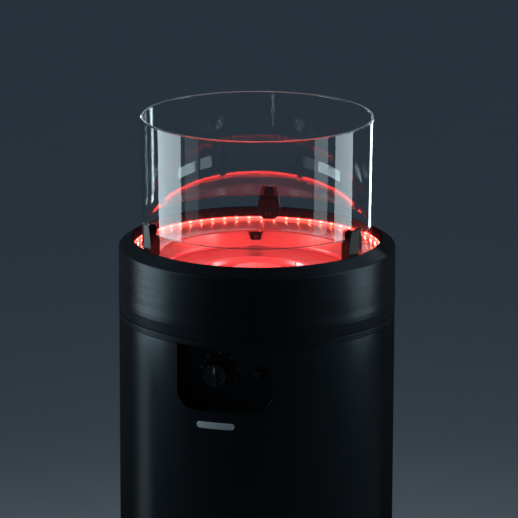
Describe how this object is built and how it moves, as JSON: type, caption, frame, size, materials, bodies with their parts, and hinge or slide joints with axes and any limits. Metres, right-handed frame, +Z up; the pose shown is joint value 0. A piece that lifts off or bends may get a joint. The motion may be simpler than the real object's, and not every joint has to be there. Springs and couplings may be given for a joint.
{
  "type": "outdoor heater",
  "caption": "Round gas fire column: black steel drum with rear door, bevelled collar, burner dish lit by a light ring, clear glass cylinder in holders.",
  "frame": {"origin": "on the floor under the centre of the round body", "axes": "+Z up, the control window and front face -Y, +X to the right seen from the front"},
  "size_m": [0.432, 0.432, 1.19],
  "materials": {
    "powder_coat": "smooth satin powder coat",
    "spun_black": "spun, semi-gloss black",
    "plain_steel": "zinc-plated satin",
    "dish_steel": "pressed, satin-polished stainless",
    "brass": "machined",
    "black_plastic": "fine-grained",
    "holder_black": "satin black cast",
    "rubber": "matt",
    "tyre": "matt",
    "ceramic": "glazed white",
    "led": "diffuser, lit red",
    "clear_glass": "clear polished borosilicate"
  },
  "bodies": {
    "frame": {"axle": "plain_steel", "axle_bracket_left": "plain_steel", "axle_bracket_right": "plain_steel", "base_pan": "powder_coat", "base_skirt": "black_plastic", "burner_bracket": "plain_steel", "burner_head": "plain_steel", "burner_tube": "plain_steel", "clip_screw_1": "plain_steel", "clip_screw_2": "plain_steel", "clip_screw_3": "plain_steel", "collar": "spun_black", "control_panel": "black_plastic", "dish": "dish_steel", "door_magnet": "black_plastic", "electrode": "ceramic", "foot_front_left": "rubber", "foot_front_right": "rubber", "foot_rear_left": "rubber", "foot_rear_right": "rubber", "front_shell": "powder_coat", "gas_pipe": "plain_steel", "gas_valve": "brass", "glass_clip_1": "holder_black", "glass_clip_2": "holder_black", "glass_clip_3": "holder_black", "hinge_pin_bottom": "plain_steel", "hinge_pin_top": "plain_steel", "holder_1": "holder_black", "holder_2": "holder_black", "holder_3": "holder_black", "hose_inlet": "brass", "igniter_body": "black_plastic", "igniter_spring": "plain_steel", "ignition_lead": "rubber", "injector": "brass", "inner_can": "plain_steel", "ir_receiver": "black_plastic", "knob_spring": "plain_steel", "led_box": "black_plastic", "led_ring": "led", "post_left": "powder_coat", "post_right": "powder_coat", "thermocouple": "brass", "tilt_switch": "black_plastic", "top_deck": "powder_coat", "trim_band": "spun_black"},
    "door": {"rear_door": "powder_coat", "door_handle": "black_plastic", "door_hinge_top": "plain_steel", "door_hinge_bottom": "plain_steel"},
    "valve_stem": {"valve_stem": "plain_steel"},
    "control_knob": {"control_knob": "black_plastic"},
    "igniter_button": {"igniter_button": "black_plastic"},
    "wheel_left": {"wheel_hub_left": "black_plastic", "wheel_tyre_left": "tyre"},
    "wheel_right": {"wheel_hub_right": "black_plastic", "wheel_tyre_right": "tyre"},
    "glass": {"glass_cylinder": "clear_glass"},
    "battery_cover": {"battery_cover": "black_plastic"}
  },
  "joints": [
    {"name": "door_hinge", "type": "hinge", "parent": "frame", "child": "door", "pos_m": [0.2035, 0.01, 0], "axis": [0, 0, -1], "range_deg": [0, 110]},
    {"name": "knob_press", "type": "slide", "parent": "frame", "child": "valve_stem", "axis": [0, 1, 0], "range_m": [0, 0.005], "stiffness_N_per_m": 600, "springref_m": -0.002, "deforming": ["knob_spring"]},
    {"name": "knob_turn", "type": "hinge", "parent": "valve_stem", "child": "control_knob", "pos_m": [-0.02, 0, 0.822], "axis": [0, -1, 0], "range_deg": [0, 180]},
    {"name": "igniter_press", "type": "slide", "parent": "frame", "child": "igniter_button", "axis": [0, 1, 0], "range_m": [0, 0.007], "stiffness_N_per_m": 600, "springref_m": -0.002, "deforming": ["igniter_spring"]},
    {"name": "wheel_left_spin", "type": "hinge", "parent": "frame", "child": "wheel_left", "pos_m": [-0.08, 0.182, 0.0265], "axis": [1, 0, 0], "continuous": true},
    {"name": "wheel_right_spin", "type": "hinge", "parent": "frame", "child": "wheel_right", "pos_m": [0.08, 0.182, 0.0265], "axis": [1, 0, 0], "continuous": true},
    {"name": "glass_lift", "type": "slide", "parent": "frame", "child": "glass", "axis": [0, 0, 1], "range_m": [0, 0.25]},
    {"name": "cover_pull", "type": "slide", "parent": "frame", "child": "battery_cover", "axis": [0, 1, 0], "range_m": [0, 0.04]}
  ]
}
